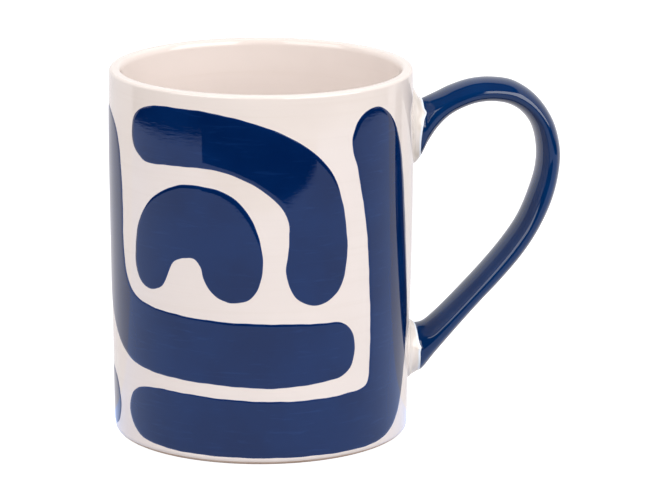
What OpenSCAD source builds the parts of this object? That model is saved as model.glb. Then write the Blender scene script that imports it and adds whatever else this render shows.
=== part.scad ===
/* [Cup] */
// Height of the mug from the table to the top of the lip
mug_h = 103.9; // [90:0.1:120]
// Radius of the wall at its widest, measured outside
belly_r = 42.5; // [38:0.5:48]
// Height of the widest place above the table
belly_z = 78; // [65:1:85]
// How much narrower the wall is at the foot than at its widest
base_taper = 1.2; // [0:0.1:3]
// How much narrower the wall is at the lip than at its widest
rim_taper = 0.25; // [0:0.05:1]
// Thickness of the wall at the lip
rim_t = 3.4; // [2.6:0.1:4.5]
// Thickness of the wall near the floor
base_t = 4.6; // [3.5:0.1:6]
// Height of the rounded part of the lip
lip_h = 2.2; // [1.4:0.1:3]
// Height of the inside floor above the table
floor_z = 6; // [5:0.5:9]
// Radius between the inside wall and the floor
floor_round = 7; // [3:0.5:10]

/* [Foot] */
// Height of the unglazed foot ring
foot_h = 1; // [0.6:0.1:1.6]
// Radius of the rounding at the outer edge of the foot
foot_round = 2; // [1.7:0.1:3]
// Inner radius of the foot ring
foot_in_r = 34.5; // [30:0.5:36]
// Depth of the hollow under the base
recess_h = 2.6; // [2:0.1:3.5]

/* [Handle] */
// How far the handle stands out from the widest part of the wall
handle_reach = 42.9; // [38:0.1:48]
// Width of the handle strap across the flat, at the middle
strap_w = 14.5; // [12:0.5:17]
// Sharpness of the side ridges: 1 is an ellipse, 2 is a knife edge
ridge = 1.05; // [1:0.05:1.6]

/* [Decoration] */
// Thickness of the coloured glaze bands on the wall
band_t = 0.25; // [0.2:0.05:0.5]

/* [Hidden] */

$fn = 96;

cream = [0.88, 0.83, 0.79];
clay = [0.78, 0.66, 0.58];
cobalt = [0.12, 0.20, 0.38];

// Heights in the lists below are drawn for this height of mug, and follow mug_h
drawn_h = 103.9;
rise_f = mug_h / drawn_h;
// Distances out from the widest wall radius are drawn for this reach, and follow handle_reach
drawn_reach = 42.9;
reach_f = handle_reach / drawn_reach;
// Widths of the strap are drawn for this middle width, and follow strap_w
drawn_w = 14.5;
width_f = strap_w / drawn_w;

// Points in each rounded stretch of the cup's outline
round_steps = 6;
// Height between two points of the wall's outline
wall_step = 6;
// Smooth steps between two drawn points of a band, and strips across it
band_steps = 4;
band_strips = 4;
// Smooth steps between two drawn sections of the handle, and points round a section
strap_steps = 2;
strap_points = 24;

// The lowest edge of a band stays on the wall, above the rounding of the foot
band_low = foot_round + 0.1;

// Sections of the handle from the upper joint round to the lower joint. Each is the inner
// edge (out, up), the outer edge (out, up) and the width, with "out" from the widest wall.
handle_sections = [
    [3.0, 77.3, 3.4, 93.1, 15.0],
    [4.6, 80.6, 4.3, 93.2, 15.0],
    [7.3, 84.6, 5.4, 93.6, 14.8],
    [10.4, 87.8, 7.9, 94.6, 14.7],
    [14.0, 89.9, 12.0, 96.4, 14.6],
    [18.5, 91.4, 17.6, 98.0, 14.5],
    [23.3, 91.7, 23.7, 98.3, 14.5],
    [28.1, 90.7, 30.1, 97.0, 14.5],
    [32.1, 88.1, 36.2, 92.7, 14.5],
    [35.1, 83.8, 40.8, 85.9, 14.5],
    [36.5, 77.9, 42.9, 77.9, 14.5],
    [36.3, 71.6, 42.6, 70.6, 14.5],
    [34.3, 64.7, 40.7, 62.7, 14.5],
    [31.2, 57.5, 37.0, 54.6, 14.5],
    [26.8, 51.1, 32.3, 47.4, 14.5],
    [21.5, 44.8, 26.4, 40.5, 14.5],
    [15.7, 38.6, 20.3, 34.2, 14.6],
    [10.4, 33.3, 14.7, 28.1, 14.7],
    [6.9, 30.1, 10.3, 23.1, 14.8],
    [4.4, 28.3, 6.6, 18.8, 14.9],
    [2.2, 27.9, 3.5, 14.9, 15.2]];

// Sections of the two luted joints, in the same direction: out of the wall to the start of the
// strap, and from the end of the strap into the wall
upper_joint_sections = [
    [-4.0, 73.2, -4.0, 98.6, 22.4],
    [-0.4, 74.0, -0.4, 97.6, 19.6],
    [0.9, 74.5, 0.9, 96.2, 16.6],
    [2.0, 75.6, 2.2, 93.9, 15.4],
    [3.0, 77.3, 3.4, 93.1, 15.0]];
lower_joint_sections = [
    [2.2, 27.9, 3.5, 14.9, 15.2],
    [1.0, 28.5, 1.9, 14.0, 15.6],
    [-0.2, 29.5, 0.4, 13.1, 17.0],
    [-0.6, 30.0, -0.6, 12.4, 19.6],
    [-4.2, 31.1, -4.2, 11.1, 22.4]];

// Bands are drawn on the unrolled wall as pairs of edge points, from one tip to the other:
// degrees round the cup and millimetres up, left edge then right edge along the stroke.
// The front of the mug is at 0 degrees and the handle at 90.
arch = [
    [-65.5, 91, -65.5, 91],
    [-64, 95, -64.5, 87],
    [-60, 97.5, -61, 84.5],
    [-53, 99.2, -55, 83],
    [-40, 99.6, -40, 83.5],
    [-26, 99, -26, 83.3],
    [-10, 96.3, -17, 81.3],
    [2, 92.5, -9, 78.3],
    [12, 87.3, -2.5, 74],
    [19, 81, 1, 69.5],
    [22.5, 74, 1.5, 65],
    [24.5, 66, 1, 60],
    [25, 59, 0.3, 55.5],
    [23.5, 52, 1.5, 51],
    [19.5, 47.3, 5, 47],
    [12.5, 45, 12.5, 45]];
horseshoe = [
    [-56, 47.3, -56, 47.3],
    [-61, 49, -50.5, 48.3],
    [-63.8, 53, -47.5, 50.8],
    [-63.8, 59, -45.5, 54],
    [-61, 66.5, -43.5, 56.5],
    [-54, 73, -40.5, 57.5],
    [-44, 77.5, -38, 57.9],
    [-34, 78.7, -36, 58.1],
    [-23, 77.3, -34, 57.6],
    [-15, 73, -32, 55.6],
    [-10, 65.5, -31, 53],
    [-8.3, 58, -29, 50],
    [-9.5, 51.5, -26, 47.8],
    [-13.5, 47.4, -23, 46.7],
    [-19.7, 46.3, -19.7, 46.3]];
hook = [
    [29, 31.5, 29, 31.5],
    [27.5, 26.8, 27.5, 36.2],
    [23, 24, 23, 39.3],
    [15, 23, 15, 39.8],
    [-4, 22.1, -2, 40.4],
    [-25, 22.7, -22, 40.8],
    [-48, 23.3, -42, 41.5],
    [-63, 24.2, -57, 42.6],
    [-73, 26.3, -65, 44.4],
    [-82, 30.3, -70, 48],
    [-92, 37, -72.5, 53],
    [-101, 46, -73.5, 60],
    [-106.5, 57, -73.3, 68],
    [-108.5, 70, -74, 76],
    [-108, 81, -76.3, 85],
    [-104, 90, -82, 91.3],
    [-94, 94, -94, 94]];
corner_leg = [
    [38.5, 98.3, 38.5, 98.3],
    [45.5, 96.5, 31.5, 96.6],
    [51.5, 92, 27.5, 92],
    [55.5, 86, 27.3, 87.5],
    [58, 79, 29.5, 82],
    [60, 71, 31.5, 75],
    [61.7, 63, 33.7, 67],
    [63.5, 54, 35.2, 58],
    [65.5, 46, 36, 49],
    [67.5, 37, 36.8, 39],
    [67, 29, 36.8, 30],
    [65, 21, 36.5, 24.5],
    [62, 13.5, 35.5, 20.7],
    [56.5, 7, 32, 19.2],
    [47, 3.2, 26, 18.8],
    [34, 2.1, 16, 18.4],
    [10, 2.1, -2, 18.3],
    [-18, 2.1, -22, 18.8]];
front_foot = [
    [-42, 2.3, -40, 19.3],
    [-55, 2.9, -53, 19.2],
    [-63.5, 4, -62, 18.2],
    [-69, 7, -68.5, 15.5],
    [-71.2, 11, -71.2, 11]];
// The foot of the back corner band is longer, and ends under the leg of the hook
back_foot = [
    [-42, 2.3, -40, 19.2],
    [-62, 2.3, -60, 18.9],
    [-78, 2.3, -78, 18.9],
    [-89, 2.5, -89, 18.7],
    [-94.5, 3.8, -95, 17],
    [-98.2, 6.4, -98.2, 13.6],
    [-99.6, 10, -99.6, 10]];
bar = [
    [29, 31.5, 29, 31.5],
    [27.5, 26.8, 27.5, 36.2],
    [23, 24, 23, 39.3],
    [15, 23, 15, 39.8],
    [-4, 22.2, -2, 40.4],
    [-25, 22.5, -22, 40.6],
    [-48, 23, -46, 40.4],
    [-57, 24.2, -57, 39.2],
    [-61.5, 27.2, -61.5, 36],
    [-63, 31.5, -63, 31.5]];

// Outer radius of the wall at height z
function wall_r(z) = z < belly_z
    ? belly_r - base_taper * pow((belly_z - z) / belly_z, 1.3)
    : belly_r - rim_taper * pow((z - belly_z) / (mug_h - belly_z), 2);

// Inner radius of the wall at height z
function inside_r(z) = wall_r(z) - rim_t - (base_t - rim_t) * (1 - z / mug_h);

// Point on the rounded outer edge of the foot, a degrees round from the underside
function foot_edge(a) = [wall_r(foot_round) - foot_round * (1 - sin(a)), foot_round * (1 - cos(a))];

// Outline of the outside of the wall, from the rounding of the foot to the start of the lip
function outside_outline(from_z, to_z) = let (n = ceil((to_z - from_z) / wall_step))
    [for (i = [0:n]) let (z = from_z + (to_z - from_z) * i / n) [wall_r(z), z]];

// Point a fraction t of the way from b to c on a smooth curve through a, b, c and d
function smooth(a, b, c, d, t) =
    b + t * ((c - a) / 2 + t * (a - 2.5 * b + 2 * c - d / 2 + t * (1.5 * (b - c) + (d - a) / 2)));

// Point i of the closed outline of a band: down its left edge and back up its right edge
function outline_point(pairs, i) = let (n = len(pairs) - 1, k = (i + 4 * n) % (2 * n))
    k <= n ? [pairs[k][0], pairs[k][1]] : [pairs[2 * n - k][2], pairs[2 * n - k][3]];

// Smooth point of that outline at place s, counted in drawn points
function outline_at(pairs, s) = let (i = floor(s))
    smooth(outline_point(pairs, i - 1), outline_point(pairs, i),
        outline_point(pairs, i + 1), outline_point(pairs, i + 2), s - i);

// Place on the wall: p is degrees round and height as drawn, lift is the distance off the wall
function on_wall(p, lift) = let (z = max(p[1] * rise_f, band_low), r = wall_r(z) + lift)
    [r * sin(p[0]), -r * cos(p[0]), z];

// All points of one face of a band: first tip, rows across the stroke, last tip
function band_face(pairs, lift) = let (n = len(pairs) - 1, rows = n * band_steps - 1) concat(
    [on_wall(outline_at(pairs, 0), lift)],
    [for (i = [1:rows]) let (
        a = outline_at(pairs, i / band_steps),
        b = outline_at(pairs, 2 * n - i / band_steps))
        for (j = [0:band_strips]) on_wall(a + (b - a) * j / band_strips, lift)],
    [on_wall(outline_at(pairs, n), lift)]);

// A band of coloured glaze on the wall, as a closed sheet of even thickness
module band(pairs) {
    rows = (len(pairs) - 1) * band_steps - 1;
    width = band_strips + 1;
    last = rows * width + 1;
    under = last + 1;
    first_row = [for (j = [0:band_strips]) 1 + j];
    last_row = [for (j = [0:band_strips]) 1 + (rows - 1) * width + j];
    rim = concat([0], [for (i = [0:rows - 1]) 1 + i * width], [last],
        [for (i = [rows - 1:-1:0]) 1 + i * width + band_strips]);
    grid = [for (i = [0:rows - 2], j = [0:band_strips - 1]) let (k = 1 + i * width + j)
        [k, k + width, k + width + 1, k + 1]];
    top = concat(
        [for (j = [0:band_strips - 1]) [0, first_row[j], first_row[j + 1]]],
        [for (q = grid) [q[0], q[1], q[2]]],
        [for (q = grid) [q[0], q[2], q[3]]],
        [for (j = [0:band_strips - 1]) [last, last_row[j + 1], last_row[j]]]);
    n = len(rim);
    sides = [for (i = [0:n - 1]) let (p = rim[i], q = rim[(i + 1) % n])
        for (f = [[q, p, p + under], [q, p + under, q + under]]) f];
    polyhedron(
        points = concat(band_face(pairs, band_t), band_face(pairs, 0)),
        faces = concat(top, [for (f = top) [f[2] + under, f[1] + under, f[0] + under]], sides));
}

// The same band on the far side, mirrored from front to back
function to_back(pairs) = [for (p = pairs) [180 - p[2], p[3], 180 - p[0], p[1]]];

// Section of the handle between two drawn ones, at place s
function section_at(list, s) = let (last = len(list) - 1, i = min(floor(s), last - 1))
    smooth(list[max(i - 1, 0)], list[i], list[i + 1], list[min(i + 2, last)], s - i);

// Ring of points of a section: a lens with a soft ridge at each side
function ring(section) = let (
    inner = [belly_r + section[0] * reach_f, section[1] * rise_f],
    outer = [belly_r + section[2] * reach_f, section[3] * rise_f],
    middle = (inner + outer) / 2,
    half = (outer - inner) / 2)
    [for (k = [0:strap_points - 1]) let (
        a = 360 * k / strap_points,
        v = middle + half * sign(sin(a)) * pow(abs(sin(a)), ridge))
        [v[0], section[4] * width_f / 2 * cos(a), v[1]]];

// Closed solid through a list of sections
module swept(list) {
    rings = (len(list) - 1) * strap_steps;
    m = strap_points;
    points = [for (i = [0:rings]) for (p = ring(section_at(list, i / strap_steps))) p];
    walls = [for (i = [0:rings - 1], k = [0:m - 1])
        let (a = i * m + k, b = i * m + (k + 1) % m)
        for (f = [[a, b, b + m], [a, b + m, a + m]]) f];
    ends = [[for (k = [m - 1:-1:0]) k], [for (k = [0:m - 1]) rings * m + k]];
    polyhedron(points = points, faces = concat(walls, ends));
}

// Everything inside the outer surface of the wall, for trimming what joins it
module cup_block() {
    rotate_extrude() polygon(concat([[0, foot_round]], outside_outline(foot_round, mug_h), [[0, mug_h]]));
}

module cup_body() {
    lip_z = mug_h - lip_h;
    lip_middle = (wall_r(lip_z) + inside_r(lip_z)) / 2;
    lip_half = (wall_r(lip_z) - inside_r(lip_z)) / 2;
    split_a = acos(1 - foot_h / foot_round);
    edge = [for (i = [0:round_steps - 1]) foot_edge(split_a + (90 - split_a) * i / round_steps)];
    lip = [for (i = [1:2 * round_steps - 1]) let (a = 90 * i / round_steps)
        [lip_middle + lip_half * cos(a), lip_z + lip_h * sin(a)]];
    bend_z = floor_z + floor_round;
    inside = [for (i = [0:ceil((lip_z - bend_z) / wall_step)])
        let (z = max(lip_z - i * wall_step, bend_z)) [inside_r(z), z]];
    bend = [for (i = [1:round_steps]) let (a = 90 * i / round_steps)
        [inside_r(bend_z) - floor_round * (1 - cos(a)), bend_z - floor_round * sin(a)]];
    color(cream)
        rotate_extrude()
            polygon(concat(
                [[0, recess_h], [foot_in_r, recess_h], [foot_in_r, foot_h]],
                edge, outside_outline(foot_round, lip_z), lip, inside, bend, [[0, floor_z]]));
}

module foot_ring() {
    split_a = acos(1 - foot_h / foot_round);
    edge = [for (i = [0:round_steps]) foot_edge(split_a * i / round_steps)];
    color(clay)
        rotate_extrude()
            polygon(concat([[foot_in_r, foot_h], [foot_in_r, 0]], edge));
}

module handle_strap() {
    color(cobalt)
        swept(handle_sections);
}

module upper_handle_joint() {
    color(cream)
        difference() {
            swept(upper_joint_sections);
            cup_block();
        }
}

module lower_handle_joint() {
    color(cream)
        difference() {
            swept(lower_joint_sections);
            cup_block();
        }
}

module blue_arch_band() {
    color(cobalt)
        band(arch);
}

module blue_horseshoe() {
    color(cobalt)
        band(horseshoe);
}

module blue_hook_band() {
    color(cobalt)
        band(hook);
}

module blue_corner_band() {
    color(cobalt)
        band(concat(corner_leg, front_foot));
}

module back_arch_band() {
    color(cobalt)
        band(to_back(arch));
}

module back_horseshoe() {
    color(cobalt)
        band(to_back(horseshoe));
}

module back_bar_band() {
    color(cobalt)
        band(to_back(bar));
}

module back_corner_band() {
    color(cobalt)
        band(to_back(concat(corner_leg, back_foot)));
}

cup_body();
foot_ring();
handle_strap();
upper_handle_joint();
lower_handle_joint();
blue_arch_band();
blue_horseshoe();
blue_hook_band();
blue_corner_band();
back_arch_band();
back_horseshoe();
back_bar_band();
back_corner_band();
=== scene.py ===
"""A straight-sided stoneware mug: cream glaze, cobalt bands on the wall, a pulled blue handle and a bare foot.

Shapes are worked out in millimetres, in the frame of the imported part, and put into the meshes in metres.
Angles round the cup are in degrees: 0 is the painted front (-Y) and 90 is the handle (+X).
"""
import math

import bmesh
import bpy
import numpy as np
from mathutils import Matrix, Vector


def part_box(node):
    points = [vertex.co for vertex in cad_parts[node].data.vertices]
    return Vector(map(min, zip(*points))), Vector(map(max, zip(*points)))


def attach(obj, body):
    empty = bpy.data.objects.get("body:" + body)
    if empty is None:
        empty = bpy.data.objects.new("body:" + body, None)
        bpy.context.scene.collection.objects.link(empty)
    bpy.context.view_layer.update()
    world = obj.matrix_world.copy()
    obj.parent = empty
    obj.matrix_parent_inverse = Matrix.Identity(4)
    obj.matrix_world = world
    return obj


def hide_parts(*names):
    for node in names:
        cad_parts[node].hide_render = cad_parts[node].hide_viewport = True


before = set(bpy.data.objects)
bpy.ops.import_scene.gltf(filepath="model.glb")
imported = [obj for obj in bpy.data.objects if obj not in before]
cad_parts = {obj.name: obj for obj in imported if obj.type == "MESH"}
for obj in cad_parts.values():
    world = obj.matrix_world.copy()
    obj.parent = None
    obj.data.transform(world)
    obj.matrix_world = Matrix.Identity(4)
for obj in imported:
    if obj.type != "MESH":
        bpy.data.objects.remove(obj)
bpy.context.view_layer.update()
MM = 0.001


# ---------------------------------------------------------------- sizes

def node_box(name):
    """Lowest and highest corner of a node of the part, in millimetres."""
    low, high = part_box(name)
    return np.array(low) / MM, np.array(high) / MM


CUP_LOW, CUP_HIGH = node_box("cup_body")
FOOT_LOW, FOOT_HIGH = node_box("foot_ring")
MUG_H = CUP_HIGH[2]
BELLY_R = CUP_HIGH[1]
FOOT_H = FOOT_HIGH[2]
BELLY_Z = 78.0
BASE_TAPER = 1.2
RIM_TAPER = 0.25
RIM_T = 3.4
BASE_T = 4.6
# the lip rounds over from inside and from outside: how wide and how high each rounding is
LIP_IN = (1.2, 2.0)
LIP_OUT = (0.9, 0.9)
FLOOR_Z = 6.0
FLOOR_ROUND = 7.0
FOOT_ROUND = 2.0
FOOT_IN_R = 34.5
RECESS_H = 2.6
# how far the inner corners under the base and the foot ring's inner edge are rounded
RECESS_ROUND = 0.6
FOOT_EASE = 0.4
# how much fuller the wall is on the side that the handle is joined to
HANDLE_PULL = 0.42
# the rim isn't quite level: how far it rises at its highest place, how far the rest is sunk, where the highest
# place is and how wide, in degrees, and the height at which the wall starts to follow
RIM_RISE = 0.55
RIM_SINK = 0.3
RIM_PEAK = -30
RIM_PEAK_WIDTH = 65
RIM_BEND_Z = 85

# points round the cup
CUP_TURNS = 256

# the side that is looked at: the camera stands this many degrees round the cup
FRONT = -10

# thickness of the cobalt glaze on the wall, how far in from its edge it thins out, how far it sinks into the
# wall, and how thick it is at its very edge
BAND_T = 0.12
BAND_FADE = 1.1
BAND_SINK = 0.1
BAND_LIP = 0.015
# rows of the mesh for each pair of edge points, and columns across the stroke
BAND_ROWS = 14
BAND_COLUMNS = 30


# ---------------------------------------------------------------- helpers

def smoothstep(x):
    """0 below 0, 1 above 1 and 3x^2 - 2x^3 between."""
    x = np.clip(x, 0, 1)
    return x * x * (3 - 2 * x)


def bell(x, middle, width):
    """A smooth bump, 1 at its middle."""
    return np.exp(-((x - middle) / width) ** 2)


def signed(turn):
    """The same angle between -180 and 180."""
    return (np.asarray(turn, float) + 180) % 360 - 180


def along(points, s):
    """Smooth curve through the rows of points: at s it is the Catmull-Rom cubic of the four rows round s."""
    points = np.asarray(points, float)
    last = len(points) - 1
    i = np.clip(np.floor(s).astype(int), 0, last - 1)
    t = (s - i)[..., None]
    a = points[np.clip(i - 1, 0, last)]
    b = points[i]
    c = points[i + 1]
    d = points[np.clip(i + 2, 0, last)]
    return b + t * ((c - a) / 2 + t * (a - 2.5 * b + 2 * c - d / 2 + t * (1.5 * (b - c) + (d - a) / 2)))


def grid_faces(rows, columns, closed):
    """Quads between neighbouring rows and columns of a grid; closed joins the last column to the first."""
    i = np.arange(rows - 1)[:, None] * columns
    j = np.arange(columns if closed else columns - 1)[None, :]
    k = (j + 1) % columns
    return np.stack([i + j, i + k, i + columns + k, i + columns + j], axis=-1).reshape(-1, 4)


def make_piece(name, points, faces, material, values=None):
    """Puts points in millimetres and quads into a closed, smooth mesh and hangs it on the part's one body.

    values holds one number a point for each named attribute.
    """
    mesh = bpy.data.meshes.new(name)
    mesh.from_pydata((np.asarray(points).reshape(-1, 3) * MM).tolist(), [], faces.tolist())
    for key, numbers in (values or {}).items():
        layer = mesh.attributes.new(key, "FLOAT", "POINT")
        layer.data.foreach_set("value", np.asarray(numbers, np.float32).ravel())
    work = bmesh.new()
    work.from_mesh(mesh)
    bmesh.ops.remove_doubles(work, verts=work.verts, dist=1e-7)
    bmesh.ops.recalc_face_normals(work, faces=work.faces)
    work.to_mesh(mesh)
    work.free()
    mesh.shade_smooth()
    mesh.set_sharp_from_angle(angle=math.radians(50))
    mesh.materials.append(material)
    piece = bpy.data.objects.new(name, mesh)
    bpy.context.scene.collection.objects.link(piece)
    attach(piece, "root")
    return piece


# ---------------------------------------------------------------- the wall

def wall_r(z):
    """Outer radius of the wall: a slow curve out from the foot to the belly, then slightly in to the lip."""
    z = np.asarray(z, float)
    below = BASE_TAPER * np.clip((BELLY_Z - z) / BELLY_Z, 0, None) ** 1.3
    above = RIM_TAPER * np.clip((z - BELLY_Z) / (MUG_H - BELLY_Z), 0, None) ** 2
    return BELLY_R - below - above


def inside_r(z):
    """Inner radius of the wall, which thickens evenly from the lip to the floor."""
    return wall_r(z) - RIM_T - (BASE_T - RIM_T) * (1 - np.asarray(z, float) / MUG_H)


def uneven(turn, z):
    """How far the hand-thrown wall stands off its circle: slow waves, and a fuller side under the handle."""
    a = np.radians(turn)
    waves = 0.05 * np.sin(2 * a + 0.7) + 0.04 * np.sin(3 * a + z / 19) + 0.025 * np.sin(5 * a - z / 11)
    return waves - 0.07 + HANDLE_PULL * smoothstep(z / 60) * np.clip(np.sin(a - 0.1), 0, 1) ** 4


def at_radius(turn, r, z):
    """Points at an angle round the cup, a radius and a height."""
    a = np.radians(turn)
    return np.stack(np.broadcast_arrays(r * np.sin(a), -r * np.cos(a), z), axis=-1)


def on_wall(turn, z, lift):
    """Points on the outside of the wall, raised off it by lift."""
    foot = np.clip(FOOT_ROUND - z, 0, FOOT_ROUND)
    tuck = FOOT_ROUND - np.sqrt(FOOT_ROUND ** 2 - foot ** 2)
    return at_radius(turn, wall_r(np.maximum(z, FOOT_ROUND)) - tuck + uneven(turn, z) + lift, z)


def turned(profile, turns):
    """Surface of revolution of an outline (r, z), made uneven as the wall is, but still round at the centre.

    The rim's height follows a bell round the cup, highest at RIM_PEAK, and the wall under it stretches too.
    """
    turn = np.arange(turns)[None, :] * 360 / turns
    r, z = profile[:, 0:1], profile[:, 1:2]
    hold = smoothstep(r / 30) * smoothstep(z / 3)
    bend = smoothstep((z - RIM_BEND_Z) / (MUG_H - RIM_BEND_Z))
    rise = (RIM_RISE * bell(signed(turn - RIM_PEAK), 0, RIM_PEAK_WIDTH) - RIM_SINK) * bend
    return at_radius(turn, r + uneven(turn, z) * hold, z + rise)


def arc(centre, rx, rz, start, stop, count):
    """Stretch of an ellipse from one angle to another, in degrees."""
    a = np.radians(np.linspace(start, stop, count))
    return np.stack([centre[0] + rx * np.cos(a), centre[1] + rz * np.sin(a)], axis=-1)


def outline(*stretches):
    """Joins stretches of an outline and drops points that repeat."""
    points = np.concatenate(stretches)
    keep = np.r_[True, np.linalg.norm(np.diff(points, axis=0), axis=1) > 1e-6]
    return points[keep]


def line(start, stop, count):
    """Evenly spaced points on a straight line."""
    t = np.linspace(0, 1, count)[:, None]
    return np.asarray(start) * (1 - t) + np.asarray(stop) * t


def cup_outline():
    """Outline of the cup: from the middle of the floor, over the lip, down outside and in under the base."""
    ease = RECESS_ROUND
    bend_z = FLOOR_Z + FLOOR_ROUND
    bend_r = float(inside_r(bend_z))
    in_z, out_z = MUG_H - LIP_IN[1], MUG_H - LIP_OUT[1]
    inner, outer = float(inside_r(in_z)), float(wall_r(out_z))
    up = np.linspace(bend_z, in_z, 70)
    down = np.linspace(out_z, FOOT_ROUND, 90)
    foot_r = float(wall_r(FOOT_ROUND))
    split = -math.degrees(math.asin(1 - FOOT_H / FOOT_ROUND))
    return outline(
        line((0, FLOOR_Z), (bend_r - FLOOR_ROUND, FLOOR_Z), 26),
        arc((bend_r - FLOOR_ROUND, bend_z), FLOOR_ROUND, FLOOR_ROUND, -90, 0, 18),
        np.stack([inside_r(up), up], axis=-1),
        arc((inner + LIP_IN[0], in_z), *LIP_IN, 180, 90, 26),
        arc((outer - LIP_OUT[0], out_z), *LIP_OUT, 90, 0, 20),
        np.stack([wall_r(down), down], axis=-1),
        arc((foot_r - FOOT_ROUND, FOOT_ROUND), FOOT_ROUND, FOOT_ROUND, 0, split, 8),
        line((FOOT_IN_R + 2 * ease, FOOT_H), (FOOT_IN_R + ease, FOOT_H), 3),
        arc((FOOT_IN_R + ease, FOOT_H + ease), ease, ease, -90, -180, 6),
        arc((FOOT_IN_R - ease, RECESS_H - ease), ease, ease, 0, 90, 6),
        line((FOOT_IN_R - ease, RECESS_H), (0, RECESS_H), 24))


def foot_outline():
    """Outline of the bare foot ring, rounded outside and eased at its inner edge."""
    foot_r = float(wall_r(FOOT_ROUND))
    split = -math.degrees(math.asin(1 - FOOT_H / FOOT_ROUND))
    rounding = arc((foot_r - FOOT_ROUND, FOOT_ROUND), FOOT_ROUND, FOOT_ROUND, split, -90, 12)
    return outline(
        line((FOOT_IN_R, FOOT_H), tuple(rounding[0]), 8),
        rounding,
        line((foot_r - FOOT_ROUND, 0), (FOOT_IN_R + FOOT_EASE, 0), 8),
        arc((FOOT_IN_R + FOOT_EASE, FOOT_EASE), FOOT_EASE, FOOT_EASE, -90, -180, 5),
        line((FOOT_IN_R, FOOT_EASE), (FOOT_IN_R, FOOT_H), 3))


# ---------------------------------------------------------------- the bands

# Pairs of edge points along a stroke, tip to tip: degrees round and millimetres up, left edge then right edge.
ARCH = [
    (-65.5, 91, -65.5, 91), (-64, 95, -64.5, 87), (-60, 97.5, -61, 84.5), (-53, 99.2, -55, 83),
    (-40, 99.6, -40, 83.5), (-26, 99, -26, 83.3), (-10, 96.3, -17, 81.3), (2, 92.5, -9, 78.3),
    (12, 87.3, -2.5, 74), (19, 81, 1, 69.5), (22.5, 74, 1.5, 65), (24.5, 66, 1, 60), (25, 59, 0.3, 55.5),
    (23.5, 52, 1.5, 51), (19.5, 47.3, 5, 47), (12.5, 45, 12.5, 45)]
HORSESHOE = [
    (-56, 47.3, -56, 47.3), (-61, 49, -50.5, 48.3), (-63.8, 53, -47.5, 50.8), (-63.8, 59, -45.5, 54),
    (-61, 66.5, -43.5, 56.5), (-54, 73, -40.5, 57.5), (-44, 77.5, -38, 57.9), (-34, 78.7, -36, 58.1),
    (-23, 77.3, -34, 57.6), (-15, 73, -32, 55.6), (-10, 65.5, -31, 53), (-8.3, 58, -29, 50),
    (-9.5, 51.5, -26, 47.8), (-13.5, 47.4, -23, 46.7), (-19.7, 46.3, -19.7, 46.3)]
HOOK = [
    (29, 31.5, 29, 31.5), (27.5, 26.8, 27.5, 36.2), (23, 24, 23, 39.3), (15, 23, 15, 39.8),
    (-4, 22.1, -2, 40.4), (-25, 22.7, -22, 40.8), (-48, 23.3, -42, 41.5), (-63, 24.2, -57, 42.6),
    (-73, 26.3, -65, 44.4), (-82, 30.3, -70, 48), (-92, 37, -72.5, 53), (-101, 46, -73.5, 60),
    (-106.5, 57, -73.3, 68), (-108.5, 70, -74, 76), (-108, 81, -76.3, 85), (-104, 90, -82, 91.3),
    (-94, 94, -94, 94)]
CORNER_LEG = [
    (38.5, 98.3, 38.5, 98.3), (45.5, 96.5, 31.5, 96.6), (51.5, 92, 27.5, 92), (55.5, 86, 27.3, 87.5),
    (58, 79, 29.5, 82), (60, 71, 31.5, 75), (61.7, 63, 33.7, 67), (63.5, 54, 35.2, 58), (65.5, 46, 36, 49),
    (67.5, 37, 36.8, 39), (67, 29, 36.8, 30), (65, 21, 36.5, 24.5), (62, 13.5, 35.5, 20.7),
    (56.5, 7, 32, 19.2), (47, 3.2, 26, 18.8), (34, 2.1, 16, 18.4), (10, 2.1, -2, 18.3),
    (-18, 2.1, -22, 18.8)]
FRONT_FOOT = [
    (-42, 2.3, -40, 19.3), (-55, 2.9, -53, 19.2), (-63.5, 4, -62, 18.2), (-69, 7, -68.5, 15.5),
    (-71.2, 11, -71.2, 11)]
BACK_FOOT = [
    (-42, 2.3, -40, 19.2), (-62, 2.3, -60, 18.9), (-78, 2.3, -78, 18.9), (-89, 2.5, -89, 18.7),
    (-94.5, 3.8, -95, 17), (-98.2, 6.4, -98.2, 13.6), (-99.6, 10, -99.6, 10)]
BAR = [
    (29, 31.5, 29, 31.5), (27.5, 26.8, 27.5, 36.2), (23, 24, 23, 39.3), (15, 23, 15, 39.8),
    (-4, 22.2, -2, 40.4), (-25, 22.5, -22, 40.6), (-48, 23, -46, 40.4), (-57, 24.2, -57, 39.2),
    (-61.5, 27.2, -61.5, 36), (-63, 31.5, -63, 31.5)]


def to_back(pairs):
    """The same stroke on the far side of the cup, mirrored from front to back."""
    return [(180 - p[2], p[3], 180 - p[0], p[1]) for p in pairs]


def stroke_edge(pairs, s):
    """Smooth closed outline of a stroke: place 0 is the first tip, n the last tip, and 2n the first again."""
    pairs = np.asarray(pairs, float)
    loop = np.concatenate([pairs[:, 0:2], pairs[-2:0:-1, 2:4]])
    n = len(loop)
    wrapped = loop[np.arange(-2, n + 3) % n]
    return along(wrapped, (s % n) + 2)


def brush_shake(points, seed):
    """Small wander of a brushed edge: sums of sines of the place, in degrees and millimetres."""
    a = points[..., 0] * 0.74
    z = points[..., 1]
    shift = np.stack([
        0.06 * np.sin(0.62 * z + 1.7 * seed) + 0.04 * np.sin(1.31 * z + 0.4 * a + seed),
        0.05 * np.sin(0.55 * a + 2.3 * seed) + 0.03 * np.sin(1.23 * a + 0.3 * z + seed)], axis=-1)
    return points + shift


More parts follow.
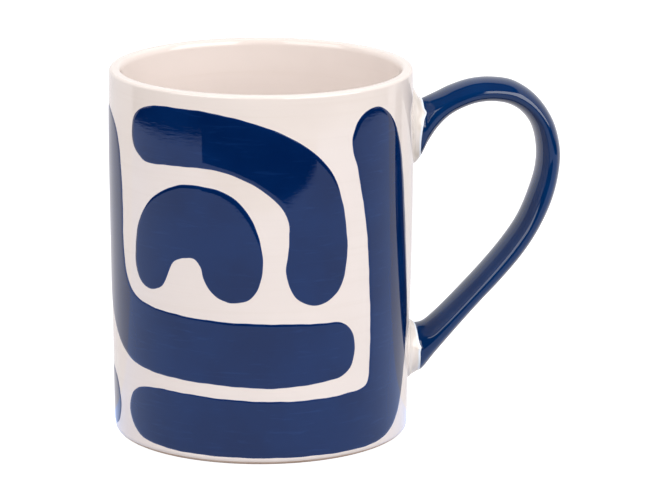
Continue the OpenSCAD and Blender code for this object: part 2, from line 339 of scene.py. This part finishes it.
def band(name, pairs, node, seed):
    """A stroke of glaze on the wall: ruled between its two edges, thickest inside and thinning to its edge."""
    n = len(pairs) - 1
    rows = n * BAND_ROWS + 1
    columns = BAND_COLUMNS
    s = np.linspace(0, n, rows)
    left = brush_shake(stroke_edge(pairs, s), seed)
    right = brush_shake(stroke_edge(pairs, 2 * n - s), seed)
    u = (1 - np.cos(np.linspace(0, math.pi, columns))) / 2
    flat = left[:, None, :] * (1 - u[None, :, None]) + right[:, None, :] * u[None, :, None]
    degree = np.array([math.radians(1) * BELLY_R, 1.0])
    edge = np.concatenate([left, right[::-1]]) * degree
    gap = np.linalg.norm(flat.reshape(-1, 1, 2) * degree - edge[None, :, :], axis=-1).min(axis=1)
    inset = gap.reshape(rows, columns)
    lift = BAND_LIP + BAND_T * (1 - (1 - np.clip(inset / BAND_FADE, 0, 1)) ** 2)
    top = on_wall(flat[..., 0], flat[..., 1], lift)
    under = on_wall(flat[..., 0], flat[..., 1], -BAND_SINK)
    points = np.concatenate([top, under[:, ::-1]], axis=1)
    faces = grid_faces(rows, 2 * columns, True)
    insets = np.concatenate([inset, inset * 0], axis=1)
    piece = make_piece(name, points, faces, COBALT, {"inset": insets})
    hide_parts(node)
    return piece


# ---------------------------------------------------------------- the handle

# Sections from inside the wall at the upper joint round to inside the wall at the lower one:
# inner edge (out, up), outer edge (out, up) and width, with "out" from the widest wall.
SECTIONS = np.array([
    (-3, 73.4, -3, 98.4, 21.6), (-0.4, 74, -0.4, 97.6, 19.6), (0.9, 74.5, 0.9, 96.2, 16.6),
    (2, 75.6, 2.2, 93.9, 15.4), (3, 77.3, 3.4, 93.1, 15), (4.6, 80.6, 4.3, 93.2, 15),
    (7.3, 84.6, 5.4, 93.6, 14.8), (10.4, 87.8, 7.9, 94.6, 14.7), (14, 89.9, 12, 96.4, 14.6),
    (18.5, 91.4, 17.6, 98, 14.5), (23.3, 91.7, 23.7, 98.3, 14.5), (28.1, 90.7, 30.1, 97, 14.5),
    (32.1, 88.1, 36.2, 92.7, 14.5), (35.1, 83.8, 40.8, 85.9, 14.5), (36.5, 77.9, 42.9, 77.9, 14.5),
    (36.3, 71.6, 42.6, 70.6, 14.5), (34.3, 64.7, 40.7, 62.7, 14.5), (31.2, 57.5, 37, 54.6, 14.5),
    (26.8, 51.1, 32.3, 47.4, 14.5), (21.5, 44.8, 26.4, 40.5, 14.5), (15.7, 38.6, 20.3, 34.2, 14.6),
    (10.4, 33.3, 14.7, 28.1, 14.7), (6.9, 30.1, 10.3, 23.1, 14.8), (4.4, 28.3, 6.6, 18.8, 14.9),
    (2.2, 27.9, 3.5, 14.9, 15.2), (1, 28.5, 1.9, 14, 15.6), (-0.2, 29.5, 0.4, 13.1, 17),
    (-0.6, 30, -0.6, 12.4, 19.6), (-3.2, 30.9, -3.2, 11.3, 21.6)])
RIDGE = 1.05
STRAP_POINTS = 96
STRAP_ROWS = 300
JOINT_ROWS = 40
# how far out the blue starts and ends, and the rows of the list between which that is
BORDER_OUT = 3.6
UPPER_ROWS = slice(0, 7)
LOWER_ROWS = slice(-7, None)


def strap_point(s, turn):
    """Point of the strap: s counts sections, turn goes round from the -Y side (0) over the outer edge (90).

    A section is an ellipse with a slightly sharpened ridge at each side. Near the wall it bends back with it.
    """
    section = along(SECTIONS, s)
    inner = section[..., 0:2] + (BELLY_R, 0)
    outer = section[..., 2:4] + (BELLY_R, 0)
    a = np.radians(turn)
    lens = np.sign(np.sin(a)) * np.abs(np.sin(a)) ** RIDGE
    flat = (inner + outer) / 2 + (outer - inner) / 2 * lens[..., None]
    y = -section[..., 4] / 2 * np.cos(a)
    bend = smoothstep((3.0 - section[..., 0]) / 3.4) * (BELLY_R - np.sqrt(BELLY_R ** 2 - y ** 2))
    return np.stack([flat[..., 0] - bend, y, flat[..., 1]], axis=-1)


def ring_turns():
    """Angles round the strap, in degrees."""
    return np.arange(STRAP_POINTS) * 360 / STRAP_POINTS


def row_at(out, rows):
    """Place along the strap where the sections of these rows reach this far out."""
    place = np.arange(len(SECTIONS))[rows]
    reach = (SECTIONS[rows, 0] + SECTIONS[rows, 2]) / 2
    order = np.argsort(reach)
    return np.interp(out, reach[order], place[order])


def upper_border(turn):
    """Place where the blue starts: nearer the wall at the near side, with a small tongue of cream there."""
    t = signed(turn)
    side = np.where(np.abs(t) > 90, 180 - np.abs(t), np.abs(t)) * np.sign(t)
    out = BORDER_OUT - 0.6 - 1.0 * bell(side, -20, 45) + 0.75 * bell(t, 38, 8)
    return row_at(out, UPPER_ROWS)


def lower_border(turn):
    """Place where the blue ends: nearly square across the strap, with a small tongue of cream."""
    t = signed(turn)
    out = BORDER_OUT - 1.5 + 0.15 * bell(t, 0, 25) + 0.35 * bell(t, -12, 8)
    return row_at(out, LOWER_ROWS)


def closed_tube(s, turn):
    """Strap surface over rows of places, closed at both ends by a flat cap."""
    tube = strap_point(s, np.broadcast_to(turn, s.shape))
    caps = [np.broadcast_to(ring.mean(axis=0), ring.shape)[None] for ring in (tube[0], tube[-1])]
    points = np.concatenate([caps[0], tube, caps[1]])
    return points, grid_faces(len(points), STRAP_POINTS, True)


def handle_strap():
    """The blue strap from border to border."""
    turn = ring_turns()[None, :]
    t = np.linspace(0, 1, STRAP_ROWS)[:, None]
    points, faces = closed_tube(upper_border(turn) * (1 - t) + lower_border(turn) * t, turn)
    piece = make_piece("blue_strap", points, faces, COBALT_HANDLE)
    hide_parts("handle_strap")
    return piece


def joint(name, border, end, node):
    """Clay smoothed from the end of the strap out onto the wall, and a little way into it."""
    turn = ring_turns()[None, :]
    t = np.linspace(0, 1, JOINT_ROWS)[:, None]
    points, faces = closed_tube(border(turn) * (1 - t) + end * t, turn)
    near = np.concatenate([[0], t[:, 0], [1]])
    piece = make_piece(name, points, faces, CREAM_JOINT,
                       {"from_border": np.repeat(near[:, None], STRAP_POINTS, axis=1)})
    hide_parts(node)
    return piece


# ---------------------------------------------------------------- materials

class Finish:
    """A material being built: its nodes and links, and short ways to add them."""

    def __init__(self, name, roughness, ior=1.45):
        self.material = bpy.data.materials.new(name)
        self.material.use_nodes = True
        self.nodes = self.material.node_tree.nodes
        self.links = self.material.node_tree.links
        self.shader = self.nodes["Principled BSDF"]
        self.shader.inputs["Roughness"].default_value = roughness
        self.shader.inputs["IOR"].default_value = ior
        self.place = self.nodes.new("ShaderNodeTexCoord").outputs["Object"]

    def put(self, socket, value):
        """Sets a socket to a number or a colour, or links it to another socket."""
        if isinstance(value, bpy.types.NodeSocket):
            self.links.new(value, socket)
        else:
            socket.default_value = (*value, 1) if isinstance(value, tuple) and len(value) == 3 else value

    def stretched(self, scale):
        """Object coordinates scaled, in cells to the metre."""
        node = self.nodes.new("ShaderNodeMapping")
        node.inputs["Scale"].default_value = scale
        self.put(node.inputs["Vector"], self.place)
        return node.outputs[0]

    def noise(self, vector, detail=3.0, roughness=0.5, distortion=0.0):
        """Noise from 0 to 1 over a vector that is already scaled."""
        node = self.nodes.new("ShaderNodeTexNoise")
        node.inputs["Scale"].default_value = 1.0
        node.inputs["Detail"].default_value = detail
        node.inputs["Roughness"].default_value = roughness
        node.inputs["Distortion"].default_value = distortion
        self.put(node.inputs["Vector"], vector)
        return node.outputs["Fac"]

    def ramp(self, value, low, high, start=0.0, stop=1.0):
        """Smooth step of a value from low to high, giving start to stop."""
        node = self.nodes.new("ShaderNodeMapRange")
        node.interpolation_type = "SMOOTHSTEP"
        for key, number in (("From Min", low), ("From Max", high), ("To Min", start), ("To Max", stop)):
            node.inputs[key].default_value = number
        self.put(node.inputs["Value"], value)
        return node.outputs["Result"]

    def blend(self, share, a, b):
        """Mix of two colours."""
        node = self.nodes.new("ShaderNodeMix")
        node.data_type = "RGBA"
        self.put(node.inputs[0], share)
        self.put(node.inputs[6], a)
        self.put(node.inputs[7], b)
        return node.outputs[2]

    def bump(self, height, depth, under=None):
        """Normal of a bumpy surface: height from 0 to 1 stands for depth in millimetres."""
        node = self.nodes.new("ShaderNodeBump")
        node.inputs["Distance"].default_value = depth * MM
        self.put(node.inputs["Height"], height)
        if under:
            self.put(node.inputs["Normal"], under)
        return node.outputs["Normal"]

    def attribute(self, name):
        """A number that the mesh holds at each point."""
        node = self.nodes.new("ShaderNodeAttribute")
        node.attribute_name = name
        return node.outputs["Fac"]

    def colour(self, value):
        """Sets or links the base colour."""
        self.put(self.shader.inputs["Base Color"], value)

    def normal(self, value):
        """Links the surface normal."""
        self.put(self.shader.inputs["Normal"], value)


def cream_glaze():
    """Warm white glaze: faint clouds and throwing lines under a high gloss."""
    f = Finish("cream_glaze", 0.04)
    clouds = f.noise(f.stretched((38, 38, 55)), 3)
    colour = f.blend(f.ramp(clouds, 0.3, 0.7), (0.780, 0.690, 0.645), (0.805, 0.716, 0.672))
    lines = f.noise(f.stretched((14, 14, 900)), 2)
    colour = f.blend(f.ramp(lines, 0.5, 0.8, 0, 0.35), colour, (0.755, 0.66, 0.605))
    f.colour(colour)
    f.normal(f.bump(lines, 0.012, f.bump(clouds, 0.05)))
    return f.material


def joint_glaze():
    """The same glaze on the joints: smoothing marks, and a painted highlight, a pale bluish line where the
    blue begins.
    """
    f = Finish("cream_joint_glaze", 0.04)
    strokes = f.noise(f.stretched((500, 300, 40)), 2)
    colour = f.blend(f.ramp(strokes, 0.35, 0.65), (0.74, 0.665, 0.60), (0.81, 0.735, 0.685))
    # painted highlight: the cream turns pale bluish white in a thin line next to the border with the blue
    edge = f.ramp(f.attribute("from_border"), 0.05, 0.17, 1, 0)
    f.colour(f.blend(edge, colour, (0.80, 0.86, 0.95)))
    f.normal(f.bump(strokes, 0.06))
    return f.material


def cobalt_glaze():
    """Dark cobalt brushed on in wet strokes: streaks along the stroke, thin at its edge, under a wet gloss."""
    f = Finish("cobalt_glaze", 0.02)
    streaks = f.noise(f.stretched((90, 90, 900)), 4, 0.6, 0.6)
    clouds = f.noise(f.stretched((60, 60, 60)), 3)
    colour = f.blend(f.ramp(clouds, 0.3, 0.7), (0.0002, 0.0115, 0.068), (0.0006, 0.0165, 0.088))
    colour = f.blend(f.ramp(streaks, 0.55, 0.75, 0, 0.4), colour, (0.006, 0.032, 0.135))
    inset = f.attribute("inset")
    colour = f.blend(f.ramp(inset, 0.0, 0.35, 0.75, 0), colour, (0.02, 0.055, 0.20))
    f.colour(colour)
    ragged = f.noise(f.stretched((260, 260, 1500)), 3, 0.6)
    f.normal(f.bump(ragged, 0.006, f.bump(clouds, 0.012)))
    return f.material


def handle_glaze():
    """The same cobalt, poured thicker over the strap."""
    f = Finish("cobalt_handle_glaze", 0.02)
    clouds = f.noise(f.stretched((55, 55, 55)), 3)
    f.colour(f.blend(f.ramp(clouds, 0.3, 0.7), (0.0004, 0.0180, 0.084), (0.0010, 0.0255, 0.108)))
    f.normal(f.bump(clouds, 0.05))
    return f.material


def bare_clay():
    """Dry fired clay: fine grain and a few darker grogs."""
    f = Finish("bare_clay", 0.85)
    grain = f.noise(f.stretched((1800, 1800, 1800)), 4)
    clouds = f.noise(f.stretched((120, 120, 120)), 3)
    colour = f.blend(f.ramp(clouds, 0.3, 0.7), (0.56, 0.40, 0.31), (0.66, 0.50, 0.41))
    f.colour(f.blend(f.ramp(grain, 0.62, 0.72, 0, 0.5), colour, (0.36, 0.24, 0.18)))
    f.normal(f.bump(grain, 0.12))
    return f.material


CREAM = cream_glaze()
CREAM_JOINT = joint_glaze()
COBALT = cobalt_glaze()
COBALT_HANDLE = handle_glaze()
CLAY = bare_clay()


# ---------------------------------------------------------------- pieces

def cup():
    """The wall, floor and lip under one cream glaze."""
    points = turned(cup_outline(), CUP_TURNS)
    piece = make_piece("glazed_cup", points, grid_faces(len(points), CUP_TURNS, True), CREAM)
    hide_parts("cup_body")
    return piece


def foot():
    """The unglazed ring that the mug rests on."""
    points = turned(foot_outline(), CUP_TURNS)
    piece = make_piece("bare_foot", points, grid_faces(len(points), CUP_TURNS, True), CLAY)
    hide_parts("foot_ring")
    return piece


# ---------------------------------------------------------------- studio

# Patches of the studio, as seen from the mug: azimuth from and to, elevation from and to, in degrees from the
# front, and how bright each is in reflections and as soft light.
STUDIO = {
    "overhead": ((-181, 181), (58, 95), 0.12, 1.0),
    "front_fill": ((-110, 110), (14, 58), 0.02, 2.1),
    "back": ((92, 268), (-2, 50), 0.9, 0.9),
    "right_softbox": ((20, 84), (6, 46), 6.0, 2.5),
    "left_softbox": ((-72, -20), (10, 46), 4.0, 1.8),
}
# the floor reaches this far each way; the sheet in front of the mug has a straight edge up to TABLE_SIDE
# degrees from straight ahead, and beyond that its edge is drawn by angle
FLOOR_HALF = 9000
TABLE_EDGE = 322
TABLE_SIDE = 41.5
SHEET_SIDE = 108
ROOM_GLOSS = 0.01
ROOM_LIGHT = 0.4


def studio_world():
    """White to the eye. Reflections see two softboxes, a pale back wall and a dark room behind the camera."""
    world = bpy.data.worlds.new("studio")
    bpy.context.scene.world = world
    world.use_nodes = True
    nodes, links = world.node_tree.nodes, world.node_tree.links

    def put(socket, value):
        """Sets a socket to a number, or links it to another socket."""
        if isinstance(value, bpy.types.NodeSocket):
            links.new(value, socket)
        else:
            socket.default_value = value

    def maths(operation, *values):
        """Result of a Math node."""
        node = nodes.new("ShaderNodeMath")
        node.operation = operation
        for socket, value in zip(node.inputs, values):
            put(socket, value)
        return node.outputs[0]

    def mix(share, a, b):
        """a at share 0 and b at share 1."""
        return maths("ADD", maths("MULTIPLY", a, maths("SUBTRACT", 1.0, share)), maths("MULTIPLY", b, share))

    def inside(value, low, high, soft=2.0):
        """1 between low and high and 0 outside, over a soft edge in degrees."""
        up = nodes.new("ShaderNodeMapRange")
        up.interpolation_type = "SMOOTHSTEP"
        down = nodes.new("ShaderNodeMapRange")
        down.interpolation_type = "SMOOTHSTEP"
        for node, a, b in ((up, low - soft, low + soft), (down, high + soft, high - soft)):
            put(node.inputs["Value"], value)
            node.inputs["From Min"].default_value = a
            node.inputs["From Max"].default_value = b
        return maths("MULTIPLY", up.outputs["Result"], down.outputs["Result"])

    turn = nodes.new("ShaderNodeMapping")
    turn.inputs["Rotation"].default_value = (0, 0, math.radians(-FRONT))
    links.new(nodes.new("ShaderNodeTexCoord").outputs["Generated"], turn.inputs["Vector"])
    split = nodes.new("ShaderNodeSeparateXYZ")
    links.new(turn.outputs[0], split.inputs[0])
    x, y, z = split.outputs
    azimuth = maths("DEGREES", maths("ARCTAN2", x, maths("MULTIPLY", y, -1.0)))
    behind = maths("ADD", azimuth, maths("MULTIPLY", maths("LESS_THAN", azimuth, 0.0), 360.0))
    elevation = maths("DEGREES", maths("ARCSINE", z))
    gloss, light = ROOM_GLOSS, ROOM_LIGHT
    for name, (across, up, in_gloss, in_light) in STUDIO.items():
        angle = behind if across[1] > 181 else azimuth
        share = maths("MULTIPLY", inside(angle, *across), inside(elevation, *up))
        gloss = mix(share, gloss, in_gloss)
        light = mix(share, light, in_light)
    path = nodes.new("ShaderNodeLightPath")
    strength = mix(path.outputs["Is Glossy Ray"], light, gloss)
    strength = mix(path.outputs["Is Camera Ray"], strength, 1.0)
    background = nodes["Background"]
    background.inputs["Color"].default_value = (1, 1, 1, 1)
    links.new(strength, background.inputs["Strength"])


def stage_sheet(name, points, faces, colour, glow, seen_by_camera):
    """A flat sheet of the set, from points in millimetres.

    A floor seen by the camera glows for the camera alone, so it stays white; the sheets that the glaze
    reflects glow by themselves and aren't seen otherwise.
    """
    mesh = bpy.data.meshes.new(name)
    mesh.from_pydata((np.asarray(points).reshape(-1, 3) * MM).tolist(), [], faces.tolist())
    paper = Finish(name, 0.9)
    paper.colour(colour)
    paper.shader.inputs["Specular IOR Level"].default_value = 0
    paper.shader.inputs["Emission Color"].default_value = (*glow, 1)
    paper.shader.inputs["Emission Strength"].default_value = 1
    if seen_by_camera:
        eye = paper.nodes.new("ShaderNodeLightPath").outputs["Is Camera Ray"]
        paper.put(paper.shader.inputs["Emission Strength"], eye)
    mesh.materials.append(paper.material)
    piece = bpy.data.objects.new(name, mesh)
    bpy.context.scene.collection.objects.link(piece)
    piece.visible_glossy = not seen_by_camera
    piece.visible_camera = seen_by_camera
    piece.visible_diffuse = seen_by_camera
    piece.visible_shadow = seen_by_camera
    return piece


def reflected_sheet(name, turn, edge, glow):
    """A fan of floor from the middle of the cup out to an edge, drawn by angle from the front."""
    points = at_radius(turn[None, :] + FRONT, np.stack([edge * 0, edge]), 0.02)
    stage_sheet(name, points, grid_faces(2, len(turn), False), (0.02, 0.02, 0.02), glow, False)


def floor():
    """A wide pale floor, and the sheets on it that the glaze reflects: a table in front, cloth behind."""
    half = FLOOR_HALF
    corners = [(-half, -half, 0), (half, -half, 0), (half, half, 0), (-half, half, 0)]
    stage_sheet("pale_floor", corners, np.array([[0, 1, 2, 3]]), (0.4, 0.4, 0.4), (0.9, 0.9, 0.9), True)
    turn = np.linspace(-SHEET_SIDE, SHEET_SIDE, 217)
    edge = np.interp(turn, (-SHEET_SIDE, -56, TABLE_SIDE, SHEET_SIDE), (478, 500, 505, 512))
    front = TABLE_EDGE / np.maximum(np.cos(np.radians(turn)), 0.1)
    reflected_sheet("near_sheet", turn, np.where(np.abs(turn) < TABLE_SIDE, front, edge), (0.80, 0.95, 1.40))
    turn = np.linspace(SHEET_SIDE, 360 - SHEET_SIDE, 145)
    reflected_sheet("back_sheet", turn, np.full(len(turn), float(half)), (0.95, 0.93, 0.97))


# the camera: focal length, degrees above the table and of tilt, and distance from the place it aims at; then
# how far that place is to the right of the cup's axis and above the table
LENS = 248.3
CAMERA_RISE = 14.036
CAMERA_ROLL = 0.1
CAMERA_DISTANCE = 1300
AIM_RIGHT = 20.85
AIM_UP = 50.71


def camera():
    """A long lens in front of the mug, a little above it and a little to the side away from the handle."""
    lens = bpy.data.cameras.new("camera")
    lens.sensor_width = 36
    lens.lens = LENS
    view = bpy.data.objects.new("camera", lens)
    bpy.context.scene.collection.objects.link(view)
    side, rise, roll = math.radians(FRONT), math.radians(CAMERA_RISE), math.radians(CAMERA_ROLL)
    right = Vector((math.cos(side), math.sin(side), 0))
    forward = Vector((-math.sin(side) * math.cos(rise), math.cos(side) * math.cos(rise), -math.sin(rise)))
    up = right.cross(forward)
    aim = right * AIM_RIGHT + Vector((0, 0, AIM_UP))
    place = (aim - forward * CAMERA_DISTANCE) * MM
    turn = Matrix((right, up, -forward)).transposed().to_4x4()
    view.matrix_world = Matrix.Translation(place) @ turn @ Matrix.Rotation(roll, 4, "Z")
    bpy.context.scene.camera = view


camera()
studio_world()
floor()
cup()
foot()
band("arch_glaze", ARCH, "blue_arch_band", 1)
band("horseshoe_glaze", HORSESHOE, "blue_horseshoe", 2)
band("hook_glaze", HOOK, "blue_hook_band", 3)
band("corner_glaze", CORNER_LEG + FRONT_FOOT, "blue_corner_band", 4)
band("back_arch_glaze", to_back(ARCH), "back_arch_band", 5)
band("back_horseshoe_glaze", to_back(HORSESHOE), "back_horseshoe", 6)
band("back_bar_glaze", to_back(BAR), "back_bar_band", 7)
band("back_corner_glaze", to_back(CORNER_LEG + BACK_FOOT), "back_corner_band", 8)
handle_strap()
joint("upper_joint_clay", upper_border, 0, "upper_handle_joint")
joint("lower_joint_clay", lower_border, len(SECTIONS) - 1, "lower_handle_joint")

bpy.context.scene.view_settings.view_transform = "Standard"
